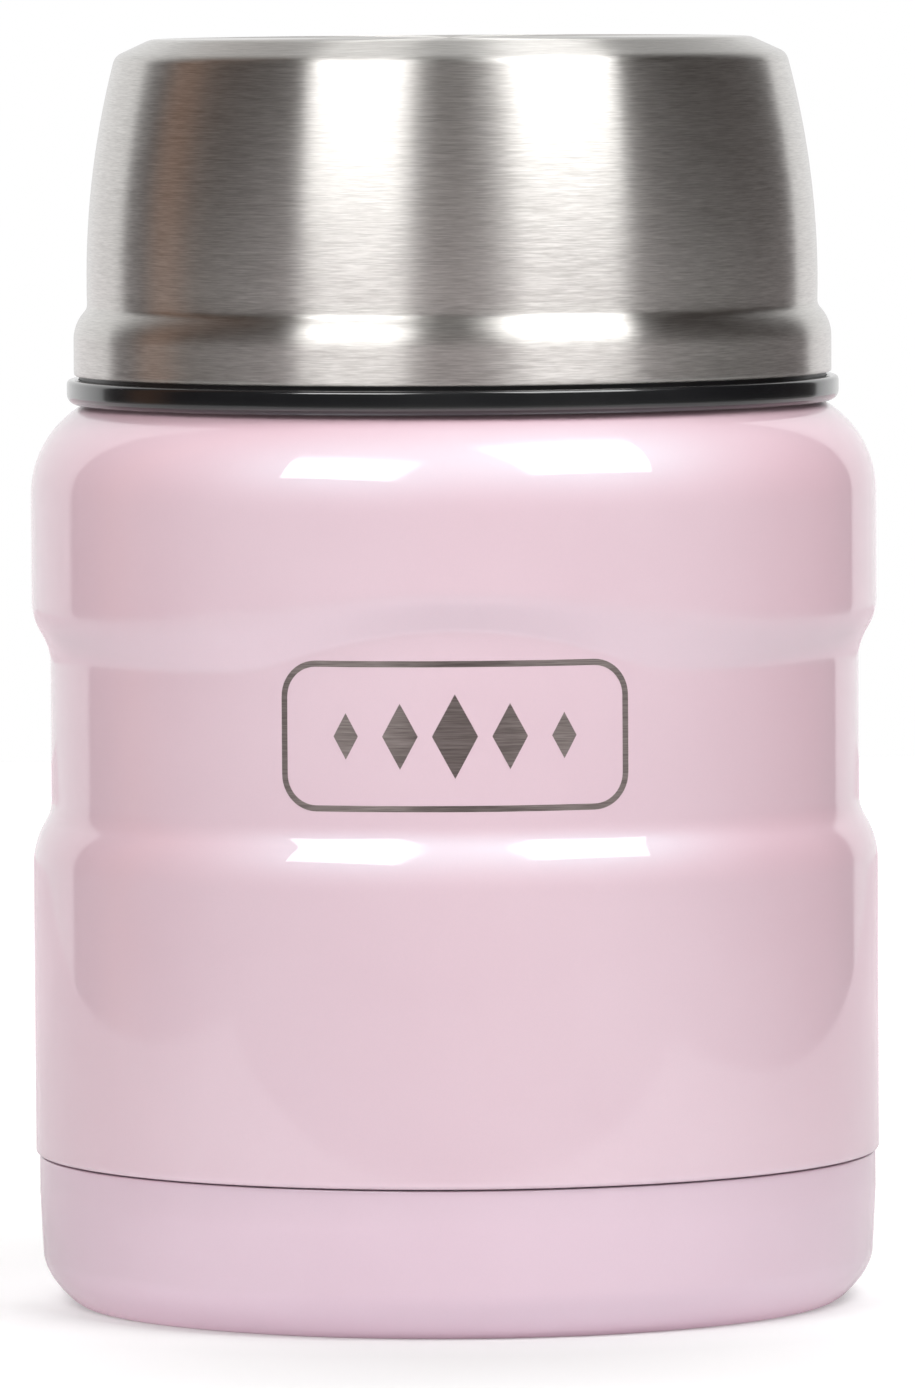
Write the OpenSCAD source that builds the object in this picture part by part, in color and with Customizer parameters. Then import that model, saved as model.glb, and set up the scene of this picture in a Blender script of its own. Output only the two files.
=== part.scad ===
// Insulated food jar: a vacuum walled steel body, a screw stopper that carries a folding
// spoon, and a screw lid that doubles as a serving bowl.
// The jar stands on z = 0 with its axis on Z. The arch over the front panel faces -Y.

/* [Body shell] */
// Outside diameter of the barrel
body_d = 94.5; // [90:0.5:100]
// Depth of the recessed band below the barrel's surface
band_inset = 2.05; // [1:0.05:3]
// Thickness of the outer shell
shell_t = 0.6; // [0.4:0.1:1]
// Height of the straight barrel between the base seam and the lower step
barrel_h = 32.8; // [20:0.2:50]
// Height of each rounded step at the edges of the band
step_h = 6.8; // [4:0.2:9]
// Height of the recessed band between its two steps
band_h = 15.4; // [10:0.2:24]
// Height of the straight collar above the band
collar_h = 11.9; // [8:0.1:20]
// Radius of the round shoulder
shoulder_r = 11.5; // [9:0.5:13]
// How far the band's upper step rises at the front
arch_rise = 4.7; // [3:0.1:7]
// Radius of the arch, seen from the front
arch_r = 50; // [35:1:65]

/* [Base cup] */
// Height of the seam between the base cup and the shell
base_h = 16.6; // [13:0.2:22]
// How far the top of the base cup lies inside the barrel's surface
base_inset = 0.4; // [0.2:0.05:1]
// Wall thickness of the base cup
base_t = 1.2; // [0.8:0.1:1.4]
// Height of the straight edge of the base cup below the seam
base_edge_h = 4.2; // [2:0.1:8]
// How much smaller the radius of the base cup is just above its corner
base_taper = 0.35; // [0:0.05:0.6]
// Radius of the lower corner
base_corner_r = 4.8; // [3:0.2:6]
// Width of the flat ring that the jar stands on
foot_w = 7; // [4:0.5:12]
// Depth of the recess inside that ring
foot_recess = 1; // [0.6:0.1:1.2]
// Open seam between the base cup and the shell
seam_gap = 0.25; // [0.1:0.05:0.5]

/* [Vacuum vessel] */
// Vacuum space between the vessel's wall and the recessed band
vacuum_gap = 2.1; // [1.2:0.1:4]
// Wall thickness of the vessel
vessel_t = 0.5; // [0.3:0.1:0.7]
// Height of the food space's floor above the ground
vessel_floor_z = 11; // [10:0.5:16]
// Inner radius of the floor's corner
vessel_corner_r = 10; // [5:0.5:16]
// Outer radius of the vessel's shoulder
vessel_shoulder_r = 8; // [7:0.5:8.5]
// Vacuum space between the top of the vessel's shoulder and the shell
shoulder_gap = 3.7; // [2:0.1:5]
// Space between the vessel's mouth and the threaded neck
neck_gap = 0.7; // [0.4:0.1:1]
// Height of the end plate above the ground
end_plate_z = 5.2; // [4.6:0.1:6]
// Thickness of the end plate
end_plate_t = 0.6; // [0.4:0.1:0.8]
// Thickness of the foil round the vessel
foil_t = 0.15; // [0.1:0.05:0.3]
// Distance of the foil's upper edge below the vessel's shoulder
foil_gap = 4.5; // [1:0.5:20]
// Diameter of the getter
getter_d = 9; // [6:0.5:12]
// Height of the getter
getter_h = 2.6; // [1.5:0.1:3]
// Distance of the getter from the axis
getter_x = 17; // [13:0.5:24]
// Diameter of the evacuation dimple
dimple_d = 10; // [7:0.5:12]
// Depth of the evacuation dimple
dimple_h = 1.1; // [0.7:0.1:1.4]
// Diameter of the evacuation hole
evac_hole_d = 2; // [1:0.2:3]

/* [Neck] */
// Height of the neck above the shell
neck_h = 12.2; // [11:0.2:15]
// Wall thickness of the neck
neck_t = 0.6; // [0.4:0.1:0.8]
// Rise of the neck thread in one turn
neck_pitch = 4; // [3.5:0.5:5]

/* [Threads] */
// Height of each thread ridge above its wall
thread_depth = 0.8; // [0.5:0.1:1]
// Height of each ridge's root along the axis
ridge_w = 1.8; // [1.4:0.1:2]
// Height of each ridge's crest along the axis
crest_w = 0.8; // [0.4:0.1:1]
// Radial gap between the crests of mating threads
thread_gap = 0.2; // [0.15:0.05:0.3]
// Length of each thread, in turns
thread_turns = 0.75; // [0.5:0.05:1]
// Rise of the lid thread in one turn
lid_pitch = 3; // [2.5:0.1:3.4]

/* [Stopper] */
// Wall thickness of the stopper's skirt
skirt_t = 1.6; // [1.2:0.1:2]
// Thickness of the stopper's deck and tray floor
deck_t = 1.6; // [1.2:0.1:2]
// Wall thickness of the tray and of the plug
plug_t = 1.4; // [1:0.1:1.8]
// Radial clearance of the plug in the mouth
plug_gap = 0.6; // [0.4:0.1:1]
// How far the plug reaches below the top of the mouth
plug_h = 16.5; // [14:0.5:19]
// Height of the gasket above the lower edge of the plug
gasket_low = 2.6; // [2:0.1:4]
// Width of the gasket's section
gasket_w = 1.9; // [1.2:0.1:2.4]
// Height of the gasket
gasket_h = 3; // [2:0.1:3.5]
// Height of the grip wall above the deck
grip_h = 6.5; // [5:0.5:8]
// Thickness of the grip wall
grip_t = 1.5; // [1:0.1:2]
// How far the grip wall lies inside the skirt's outer face
grip_inset = 1; // [0.5:0.1:2]
// Width of the two finger notches in the grip wall
notch_w = 26; // [16:1:34]

/* [Lid] */
// How far the lid's lower edge lies inside the barrel's surface
lid_inset = 4.95; // [4.4:0.05:7]
// Height of the steel shell of the lid
lid_h = 37.4; // [32:0.2:44]
// Thickness of the steel shell
lid_t = 0.5; // [0.3:0.1:0.7]
// Height of the straight edge below the lid's step
lid_edge_h = 4; // [3:0.1:6]
// Height of the lid's step
lid_step_h = 3.9; // [3:0.1:5]
// How far the step draws the wall in
lid_step_w = 1.5; // [1:0.1:2]
// Height of the wall's widest place above the step
lid_widest_h = 2.5; // [0:0.5:5]
// Radius of the slow curve of the lid's wall, seen from the side
lid_curve_r = 96; // [80:1:140]
// Radius of the lid's top corner
lid_corner_r = 1.6; // [1:0.1:2]
// Height of the bevel round the lid's top
lid_bevel_h = 1.6; // [1:0.1:2]
// Width of that bevel
lid_bevel_w = 3.4; // [2:0.1:5]
// Thickness of the liner
liner_t = 1.4; // [1:0.1:1.6]
// Air space between the liner and the steel at the top
liner_air = 1; // [0.5:0.1:2]
// Outer radius of the liner's bowl corner
liner_corner_r = 9; // [5:0.5:12]
// How far the rim ring stands out beyond the lid's lower edge
rim_proud = 0.8; // [0.5:0.05:1.5]
// How far the underside of the rim ring is drawn in
rim_undercut = 1.5; // [1:0.1:2]
// Height of the rim ring
rim_h = 2.7; // [2.3:0.1:4]
// Gap between the rim ring and the shoulder
rim_gap = 0.3; // [0.2:0.05:0.5]
// Gap between the rim ring and the steel shell
lid_gap = 0.4; // [0.2:0.05:0.6]

/* [Spoon] */
// Distance of the hinge pin from the grip wall
pivot_gap = 6; // [5:0.5:8]
// Distance between the hinge pin and the bowl
spoon_neck_l = 5; // [4:0.5:8]
// Gap between the tip of the bowl and the wall of the tray
spoon_tip_gap = 2.8; // [1:0.1:6]
// Height of the bowl's rim above the deck
spoon_rise = 2.5; // [2:0.1:3.5]
// Width of the spoon's bowl
spoon_w = 36; // [28:1:40]
// Depth of the spoon's bowl
spoon_depth = 8; // [6:0.5:9]
// Thickness of the spoon's metal
spoon_t = 1.2; // [0.8:0.1:1.5]
// Gap between the tip of the folded handle and the grip wall
handle_tip_gap = 4; // [2:0.5:12]
// Length of the handle's narrow root
handle_root_l = 6; // [4:0.5:12]
// Width of the handle near its tip
handle_w = 12; // [8:0.5:14]
// Thickness of the handle
handle_t = 1.5; // [1.2:0.1:2]
// Diameter of the hinge pin
pin_d = 2.4; // [2:0.1:2.6]
// Wall of the handle's knuckle round the pin
knuckle_t = 1.2; // [0.9:0.1:1.5]
// Width of the knuckle
knuckle_w = 6.2; // [5:0.2:8]
// Gap between the knuckle and the rim of the bowl
knuckle_gap = 0.5; // [0.3:0.1:1]
// Thickness of each hinge ear
ear_t = 1.2; // [1:0.1:1.5]

/* [Hidden] */
$fn = 96;

PINK = "#DEC0CB";
STEEL = "#C4C1BD";
BLACK = "#1C1C1E";
RUBBER = "#3C3D40";
FOAM = "#EFE8DA";
COPPER = "#C58A63";

// Gaps that keep pieces of one body apart, and pieces of two bodies apart
skin = 0.1;
fit = 0.3;
// Radial clearance of the pin in the handle, where it turns, and in the ears, where it is pressed
running = 0.05;
press = 0.01;
// How far a solid reaches into one that it is joined to, and a cutter past what it cuts
bite = 0.3;
over = 1;

// Radii of the shell
body_r = body_d / 2;
band_r = body_r - band_inset;
base_r = body_r - base_inset;
spigot_r = base_r - base_taper - base_t - skin;
shoulder_cr = body_r - shoulder_r;

// Heights of the shell
seam_z = base_h;
step1_z = seam_z + barrel_h;
band_z = step1_z + step_h;
step2_z = band_z + band_h;
collar_z = step2_z + step_h;
shoulder_z0 = collar_z + collar_h;

// Radii of the nested necks, from the lid's wall inwards
lid_r = body_r - lid_inset;
liner_r = lid_r - lid_t - skin;
liner_in_r = liner_r - liner_t;
skirt_r = liner_in_r - 2 * thread_depth - thread_gap;
skirt_in_r = skirt_r - skirt_t;
neck_r = skirt_in_r - 2 * thread_depth - thread_gap;
neck_in_r = neck_r - neck_t;
mouth_out_r = neck_in_r - neck_gap;
mouth_r = mouth_out_r - vessel_t;
gasket_r = mouth_r - fit;
plug_r = mouth_r - plug_gap;
plug_in_r = plug_r - plug_t;
groove_r = gasket_r - gasket_w - skin;
tray_out_r = plug_in_r - skin;
tray_r = tray_out_r - plug_t;

// Height of the shoulder's outer face at radius r
function shoulder_at(r) =
    shoulder_z0 + sqrt(shoulder_r * shoulder_r - pow(min(shoulder_r, max(0, r - shoulder_cr)), 2));

shell_top_z = shoulder_at(neck_r);
mouth_z = shell_top_z + neck_h;
vessel_r = band_r - shell_t - vacuum_gap - vessel_t;
vessel_top_z = shell_top_z - shell_t - shoulder_gap;

// Rim ring and lid
rim_r = lid_r + rim_proud;
rim_low_r = rim_r - rim_undercut;
rim_low_z = shoulder_at(rim_low_r) + rim_gap;
rim_in_z = shoulder_at(liner_in_r) + rim_gap;
rim_top_z = rim_low_z + rim_h;
rim_ledge_t = 0.8;
liner_z = rim_in_z + rim_ledge_t + skin;
lid_z = rim_top_z + lid_gap;
lid_top_z = lid_z + lid_h;
lid_step_z = lid_z + lid_edge_h;
lid_wall_z = lid_step_z + lid_step_h;
lid_wall_r = lid_r - lid_step_w;
lid_widest_z = lid_wall_z + lid_widest_h;

// Stopper
skirt_z = shell_top_z + fit + skin;
deck_under_z = mouth_z + fit + skin;
deck_z = deck_under_z + deck_t;
grip_r = skirt_r - grip_inset;
grip_in_r = grip_r - grip_t;
grip_z = deck_z + grip_h;
plug_z = mouth_z - plug_h;
gasket_z = plug_z + gasket_low;

// Spoon, lying along X with its pin at the -X end
spoon_rim_z = deck_z + spoon_rise;
tray_z = spoon_rim_z - spoon_depth - spoon_t - fit;
pivot_x = pivot_gap - grip_in_r;
spoon_end_x = pivot_x + spoon_neck_l;
spoon_tip_x = tray_r - spoon_tip_gap;
spoon_x = (spoon_end_x + spoon_tip_x) / 2;
spoon_l = spoon_tip_x - spoon_end_x;
handle_l = grip_in_r - handle_tip_gap - pivot_x;
knuckle_r = pin_d / 2 + knuckle_t;
pivot_z = spoon_rim_z + knuckle_r + knuckle_gap;
ear_gap = knuckle_w / 2 + fit - skin;
spoon_neck_w = 2 * (ear_gap + 2 * ear_t);

// Threads: the lid's ridge lies half a pitch below the stopper's
lid_thread_z = liner_z + ridge_w / 2 + fit;
cap_thread_z = lid_thread_z + lid_pitch / 2;
neck_thread_z = shell_top_z + neck_h - fit - ridge_w - thread_turns * neck_pitch;
skirt_thread_z = neck_thread_z - neck_pitch / 2;

// Points along an arc, from angle a0 to angle a1
function arc(cx, cy, r, a0, a1, n = 8) =
    [for (i = [0:n]) let (a = a0 + (a1 - a0) * i / n) [cx + r * cos(a), cy + r * sin(a)]];

// Points along a soft S from one radius and height to another
function s_curve(r0, z0, r1, z1, n = 10) =
    [for (i = [0:n]) let (t = i / n) [r0 + (r1 - r0) * t * t * (3 - 2 * t), z0 + (z1 - z0) * t]];

function reversed(points) = [for (i = [len(points) - 1:-1:0]) points[i]];

// Turns a section given by its outer and its inner line round Z
module ring(outer, inner) {
    rotate_extrude() polygon(concat(outer, reversed(inner)));
}

// A helical ridge on a wall: side is 1 on the outside of a wall and -1 on its inside
module thread(wall_r, z, pitch, side) {
    steps = 30;
    fade = 3;
    rings = [for (i = [0:steps])
        let (
            a = 360 * thread_turns * i / steps,
            full = min(1, min(i, steps - i) / fade),
            crest = wall_r + side * (thread_depth * full - bite * (1 - full) / 2),
            root = wall_r - side * bite,
            h = z + pitch * a / 360
        )
        [for (p = [[root, -ridge_w / 2], [root, ridge_w / 2], [crest, crest_w / 2], [crest, -crest_w / 2]])
            [p[0] * cos(a), p[0] * sin(a), h + p[1]]]];
    points = [for (r = rings) for (p = r) p];
    sides = [for (i = [0:steps - 1]) for (k = [0:3])
        let (a = 4 * i + k, b = 4 * i + (k + 1) % 4)
        each [[a, a + 4, b + 4], [a, b + 4, b]]];
    ends = [[0, 1, 2, 3], [for (k = [3:-1:0]) 4 * steps + k]];
    faces = concat(sides, ends);
    polyhedron(points, side > 0 ? faces : [for (f = faces) reversed(f)]);
}

// Outer face of the shell, moved inwards by t, from the seam to the neck
function shell_line(t) =
    let (
        edge_r = 1.1,
        c = shoulder_cr,
        end = acos(max(0, (neck_r - c) / shoulder_r))
    )
    concat(
        [[spigot_r - t, end_plate_z], [spigot_r - t, seam_z + seam_gap + t]],
        arc(body_r - edge_r, seam_z + seam_gap + edge_r, edge_r - t, -90, 0, 6),
        s_curve(body_r - t, step1_z, band_r - t, band_z),
        s_curve(band_r - t, step2_z, body_r - t, collar_z),
        arc(c, shoulder_z0, shoulder_r - t, 0, end, 16)
    );

// The arch: terraces of growing radius and falling depth, cut into the front above the band
module arch_pocket(t) {
    terraces = 4;
    slope_h = 3.6;
    foot_h = 1.2;
    centre_z = step2_z + arch_rise + foot_h - arch_r;
    mid_z = band_z + band_h / 2;
    h = shoulder_z0 - mid_z;
    for (i = [0:terraces - 1]) {
        depth_r = band_r - t + (body_r - band_r) * i / terraces;
        reach = arch_r + t + slope_h * (i + 0.5) / terraces;
        intersection() {
            difference() {
                translate([0, 0, centre_z]) rotate([90, 0, 0]) cylinder(r = reach, h = body_r + over);
                translate([0, 0, mid_z - over]) cylinder(r = depth_r, h = h + 2 * over);
            }
            translate([-body_r, -body_r - over, mid_z]) cube([2 * body_r, body_r + over, h]);
        }
    }
}

// Solid of revolution bounded by the shell's outer face moved inwards by t
module shell_form(t) {
    line = shell_line(t);
    rotate_extrude()
        polygon(concat([[0, line[0][1]]], line, [[0, line[len(line) - 1][1]]]));
}

module outer_shell() {
    color(PINK) difference() {
        difference() {
            shell_form(0);
            arch_pocket(0);
        }
        difference() {
            shell_form(shell_t);
            arch_pocket(shell_t);
        }
        translate([0, 0, end_plate_z - over])
            cylinder(r = spigot_r - shell_t, h = shell_t + 2 * over);
        translate([0, 0, shell_top_z - shell_t - over]) cylinder(r = neck_r, h = shell_t + 2 * over);
    }
}

module threaded_neck() {
    color(STEEL) union() {
        translate([0, 0, shell_top_z - shell_t]) difference() {
            cylinder(r = neck_r, h = neck_h + shell_t - vessel_t);
            translate([0, 0, -over]) cylinder(r = neck_in_r, h = neck_h + shell_t + 2 * over);
        }
        thread(neck_r, neck_thread_z, neck_pitch, 1);
    }
}

// Line of the vessel's wall: t is 0 on its inside and vessel_t on its outside
function vessel_line(t) =
    let (
        slope_h = 1.5,
        arc_r = vessel_shoulder_r - vessel_t + t,
        centre = vessel_r + vessel_t - vessel_shoulder_r,
        end = acos(max(0, (mouth_out_r - centre) / vessel_shoulder_r))
    )
    concat(
        [[0, vessel_floor_z - t]],
        arc(vessel_r - vessel_corner_r, vessel_floor_z + vessel_corner_r, vessel_corner_r + t, -90, 0, 8),
        arc(centre, vessel_top_z - vessel_shoulder_r, arc_r, 0, end, 12),
        [[mouth_r + t, vessel_top_z + slope_h]]
    );

module inner_vessel() {
    color(STEEL) ring(
        concat(
            vessel_line(vessel_t),
            [[mouth_out_r, mouth_z - vessel_t], [neck_r, mouth_z - vessel_t], [neck_r, mouth_z]]
        ),
        concat(vessel_line(0), [[mouth_r, mouth_z]])
    );
}

module radiation_foil() {
    foil_r = vessel_r + vessel_t + skin / 2;
    foil_z = vessel_floor_z + vessel_corner_r;
    foil_h = vessel_top_z - vessel_shoulder_r - foil_gap - foil_z;
    color(COPPER) translate([0, 0, foil_z]) difference() {
        cylinder(r = foil_r + foil_t, h = foil_h);
        translate([0, 0, -over]) cylinder(r = foil_r, h = foil_h + 2 * over);
    }
}

module end_plate() {
    r = dimple_d / 2;
    color(STEEL) translate([0, 0, end_plate_z]) difference() {
        union() {
            cylinder(r = spigot_r - shell_t, h = end_plate_t);
            cylinder(r = r + end_plate_t, h = dimple_h + end_plate_t);
        }
        translate([0, 0, -over]) cylinder(r = r, h = dimple_h + over);
        cylinder(d = evac_hole_d, h = dimple_h + end_plate_t + over);
    }
}

module getter() {
    cup_t = 1;
    hollow_h = 0.6;
    color("#8A8D90") translate([getter_x, 0, end_plate_z + end_plate_t]) difference() {
        cylinder(d = getter_d, h = getter_h);
        translate([0, 0, getter_h - hollow_h]) cylinder(d = getter_d - 2 * cup_t, h = hollow_h + over);
    }
}

module evacuation_seal() {
    margin = 1;
    sunk = 0.2;
    color("#5F5348") translate([0, 0, end_plate_z]) union() {
        translate([0, 0, sunk]) cylinder(d = dimple_d - 2 * margin, h = dimple_h - sunk);
        cylinder(d = evac_hole_d, h = dimple_h + end_plate_t);
    }
}

module base_cup() {
    edge = 0.2;
    low_r = base_r - base_taper;
    in_r = low_r - base_t;
    in_corner_r = base_corner_r / 2;
    foot_in_r = low_r - base_corner_r - foot_w;
    color(PINK) ring(
        concat(
            [[0, foot_recess], [foot_in_r, foot_recess], [foot_in_r + foot_recess, 0]],
            arc(low_r - base_corner_r, base_corner_r, base_corner_r, -90, 0, 10),
            [[base_r, seam_z - base_edge_h], [base_r, seam_z - edge], [base_r - edge, seam_z]]
        ),
        concat(
            [[0, foot_recess + base_t], [foot_in_r + foot_recess, foot_recess + base_t]],
            arc(in_r - in_corner_r, foot_recess + base_t + in_corner_r, in_corner_r, -90, 0, 6),
            [[in_r, seam_z]]
        )
    );
}

module stopper_gasket() {
    in_r = gasket_r - gasket_w;
    lip = gasket_h / 6;
    bevel = 0.7;
    waist = 0.5;
    color(RUBBER) translate([0, 0, gasket_z]) ring(
        [[in_r, 0], [gasket_r - bevel, 0], [gasket_r, lip], [gasket_r, 2 * lip], [gasket_r - waist, 3 * lip],
            [gasket_r, 4 * lip], [gasket_r, 5 * lip], [gasket_r - bevel, gasket_h]],
        [[in_r, 0], [in_r, gasket_h]]
    );
}

module stopper_plug() {
    groove_h = gasket_h + 2 * skin;
    bevel = 1;
    color(BLACK) difference() {
        translate([0, 0, plug_z]) union() {
            cylinder(r1 = plug_r - bevel, r2 = plug_r, h = bevel);
            translate([0, 0, bevel]) cylinder(r = plug_r, h = deck_under_z - plug_z - bevel);
        }
        translate([0, 0, plug_z + plug_t]) cylinder(r = groove_r - plug_t, h = plug_h);
        translate([0, 0, gasket_z + gasket_h + plug_t]) cylinder(r = plug_in_r, h = plug_h);
        translate([0, 0, gasket_z - skin]) difference() {
            cylinder(r = plug_r + over, h = groove_h);
            translate([0, 0, -over]) cylinder(r = groove_r, h = groove_h + 2 * over);
        }
    }
}

module stopper_foam() {
    color(FOAM) translate([0, 0, plug_z + plug_t])
        cylinder(r = groove_r - plug_t - skin, h = tray_z - deck_t - plug_z - plug_t);
}

module stopper_cap() {
    edge = 0.5;
    bevel = 1;
    corner_r = 2.5;
    outer = concat(
        [[0, tray_z]],
        arc(tray_r - corner_r, tray_z + corner_r, corner_r, -90, 0, 4),
        [[tray_r, deck_z - edge], [tray_r + edge, deck_z], [grip_in_r, deck_z], [grip_in_r, grip_z - edge]],
        [[grip_in_r + edge, grip_z], [grip_r - edge, grip_z], [grip_r, grip_z - edge], [grip_r, deck_z]],
        [[skirt_r, deck_under_z - edge], [skirt_r, skirt_z]]
    );
    inner = [
        [0, tray_z - deck_t], [tray_out_r - bevel, tray_z - deck_t], [tray_out_r, tray_z - deck_t + bevel],
        [tray_out_r, deck_under_z], [skirt_in_r, deck_under_z], [skirt_in_r, skirt_z]
    ];
    color(BLACK) difference() {
        union() {
            ring(outer, inner);
            thread(skirt_r, cap_thread_z, lid_pitch, 1);
            thread(skirt_in_r, skirt_thread_z, neck_pitch, -1);
            spoon_rests();
        }
        for (side = [-1, 1]) finger_notch(side);
    }
}

// A block under the spoon's neck, between two posts
module spoon_rests() {
    post_w = 1.4;
    rest_l = 4;
    rest_h = spoon_rim_z - spoon_t - fit - deck_z;
    rest_w = spoon_neck_w + 2 * fit;
    translate([pivot_x, 0, deck_z - bite]) {
        translate([0, -rest_w / 2, 0]) cube([rest_l, rest_w, rest_h + bite]);
        for (y = [-rest_w / 2 - post_w, rest_w / 2])
            translate([0, y, 0]) cube([rest_l, post_w, rest_h + spoon_t + bite]);
    }
}

module finger_notch(side) {
    sill_h = 1.2;
    translate([-notch_w / 2, side > 0 ? 0 : -grip_r - over, deck_z + sill_h])
        cube([notch_w, grip_r + over, grip_h]);
}

module lid_rim() {
    in_r = liner_in_r;
    wall_r = liner_r + skin;
    bevel_h = 0.5;
    edge = 0.15;
    color(BLACK) ring(
        [[in_r, rim_in_z], [rim_low_r, rim_low_z], [rim_r - edge, rim_low_z + bevel_h - edge],
            [rim_r, rim_low_z + bevel_h], [rim_r, rim_top_z - 2 * edge], [rim_r - 2 * edge, rim_top_z],
            [wall_r, rim_top_z]],
        [[in_r, rim_in_z], [in_r, rim_in_z + rim_ledge_t], [wall_r, rim_in_z + rim_ledge_t],
            [wall_r, rim_top_z]]
    );
}

// Radius of the lid's wall above its step, moved inwards by t
function lid_wall(z, t) =
    lid_wall_r - lid_curve_r + sqrt(pow(lid_curve_r - t, 2) - pow(z - lid_widest_z, 2));

// How far the wall leans in, in degrees, where a corner of radius r round height cz meets it
function lid_lean(cz, r) = asin((cz - lid_widest_z) / (lid_curve_r - r));

// Wall of the lid moved inwards by t, from height z0 up to that corner
function lid_line(t, z0, cz, r) =
    let (z1 = cz + (r - t) * sin(lid_lean(cz, r)))
    concat(
        [[lid_r - t, z0]],
        s_curve(lid_r - t, lid_step_z - t / 2, lid_wall(lid_wall_z, t), lid_wall_z - t / 2, 8),
        [for (i = [1:10]) let (z = lid_wall_z + (z1 - lid_wall_z) * i / 10) [lid_wall(z, t), z]]
    );

// The corner itself, up to angle a1
function lid_corner(t, cz, r, a1, n) =
    let (a0 = lid_lean(cz, r))
    arc(lid_wall_r - lid_curve_r + (lid_curve_r - r) * cos(a0), cz, r - t, a0, a1, n);

// Steel shell, moved inwards by t
function lid_shell_line(t) =
    let (
        end = 60,
        cz = lid_top_z - lid_bevel_h - lid_corner_r * sin(end),
        corner = lid_corner(t, cz, lid_corner_r, end, 5)
    )
    concat(
        lid_line(t, lid_z, cz, lid_corner_r),
        corner,
        [[corner[5][0] - lid_bevel_w, lid_top_z - t], [0, lid_top_z - t]]
    );

module lid_shell() {
    color(STEEL) ring(lid_shell_line(0), lid_shell_line(lid_t));
}

// Liner: t is 0 on its outside and liner_t on its inside
function liner_line(t) =
    let (
        inset = lid_t + skin,
        r = liner_corner_r + inset,
        cz = lid_top_z - lid_t - liner_air - liner_corner_r
    )
    concat(
        lid_line(inset + t, liner_z, cz, r),
        lid_corner(inset + t, cz, r, 90, 8),
        [[0, cz + liner_corner_r - t]]
    );

module lid_liner() {
    color(BLACK) union() {
        ring(liner_line(0), liner_line(liner_t));
        thread(liner_in_r, lid_thread_z, lid_pitch, -1);
    }
}

// Half width of the spoon's bowl at u, from -1 at its neck to 1 at its tip
function spoon_half(u) =
    let (egg = 0.16)
    spoon_w / 2 * sqrt(max(0, 1 - u * u)) * (1 + egg * u);

module spoon_bowl() {
    rings = 8;
    around = 36;
    grid = [for (low = [0, 1]) for (j = [1:rings]) for (k = [0:around - 1])
        let (
            f = j / rings,
            a = 360 * k / around,
            u = cos(a),
            v = sin(a) < 0 ? -1 : 1,
            z = spoon_rim_z - spoon_depth * (1 - f * f)
        )
        [spoon_x + f * spoon_l / 2 * u, v * f * spoon_half(u), z - low * spoon_t]];
    points = concat(grid, [for (low = [0, 1]) [spoon_x, 0, spoon_rim_z - spoon_depth - low * spoon_t]]);
    layer = rings * around;
    skins = [for (low = [0, 1]) for (j = [0:rings - 2]) for (k = [0:around - 1])
        let (
            a = low * layer + j * around + k,
            b = low * layer + j * around + (k + 1) % around
        )
        each low ? [[a, b + around, b], [a, a + around, b + around]]
            : [[a, b, b + around], [a, b + around, a + around]]];
    hubs = [for (low = [0, 1]) for (k = [0:around - 1])
        let (a = low * layer + k, b = low * layer + (k + 1) % around, hub = 2 * layer + low)
        low ? [hub, a, b] : [hub, b, a]];
    rim = [for (k = [0:around - 1])
        let (a = (rings - 1) * around + k, b = (rings - 1) * around + (k + 1) % around)
        each [[a, b + layer, a + layer], [a, b, b + layer]]];
    color(STEEL) union() {
        polyhedron(points, concat(skins, hubs, rim));
        spoon_hinge();
    }
}

// Neck plate of the spoon and its two ears
module spoon_hinge() {
    heel = 1;
    overlap = 1.6;
    translate([pivot_x, 0, 0]) {
        translate([-heel, -spoon_neck_w / 2, spoon_rim_z - spoon_t])
            cube([heel + spoon_neck_l + overlap, spoon_neck_w, spoon_t]);
        for (side = [-1, 1]) difference() {
            hinge_ear(side);
            translate([0, -spoon_neck_w, pivot_z]) rotate([-90, 0, 0])
                cylinder(r = pin_d / 2 + press, h = 2 * spoon_neck_w);
        }
    }
}

module hinge_ear(side) {
    y = side > 0 ? ear_gap : -ear_gap - ear_t;
    translate([0, y, pivot_z]) {
        rotate([-90, 0, 0]) cylinder(r = knuckle_r, h = ear_t);
        translate([-knuckle_r, 0, spoon_rim_z - spoon_t / 2 - pivot_z])
            cube([2 * knuckle_r, ear_t, pivot_z - spoon_rim_z + spoon_t / 2]);
    }
}

module spoon_pin() {
    head_t = 0.7;
    head_d = pin_d + 1.4;
    shank = 2 * (ear_gap + ear_t + skin / 2);
    color(STEEL) translate([pivot_x, 0, pivot_z]) rotate([-90, 0, 0]) union() {
        translate([0, 0, -shank / 2]) cylinder(d = pin_d, h = shank);
        for (side = [-1, 1]) translate([0, 0, side * (shank + head_t) / 2])
            cylinder(d = head_d, h = head_t, center = true);
    }
}

module spoon_handle() {
    tip_x = handle_l - handle_w / 2;
    root_w = knuckle_w / 2;
    color(STEEL) translate([pivot_x, 0, pivot_z]) difference() {
        union() {
            rotate([-90, 0, 0]) translate([0, 0, -knuckle_w / 2]) cylinder(r = knuckle_r, h = knuckle_w);
            translate([0, 0, -handle_t / 2]) linear_extrude(handle_t) union() {
                polygon([
                    [0, -root_w], [handle_root_l, -root_w], [tip_x, -handle_w / 2],
                    [tip_x, handle_w / 2], [handle_root_l, root_w], [0, root_w]
                ]);
                translate([tip_x, 0]) circle(d = handle_w);
            }
        }
        translate([0, -knuckle_w, 0]) rotate([-90, 0, 0])
            cylinder(r = pin_d / 2 + running, h = 2 * knuckle_w);
    }
}

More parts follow.
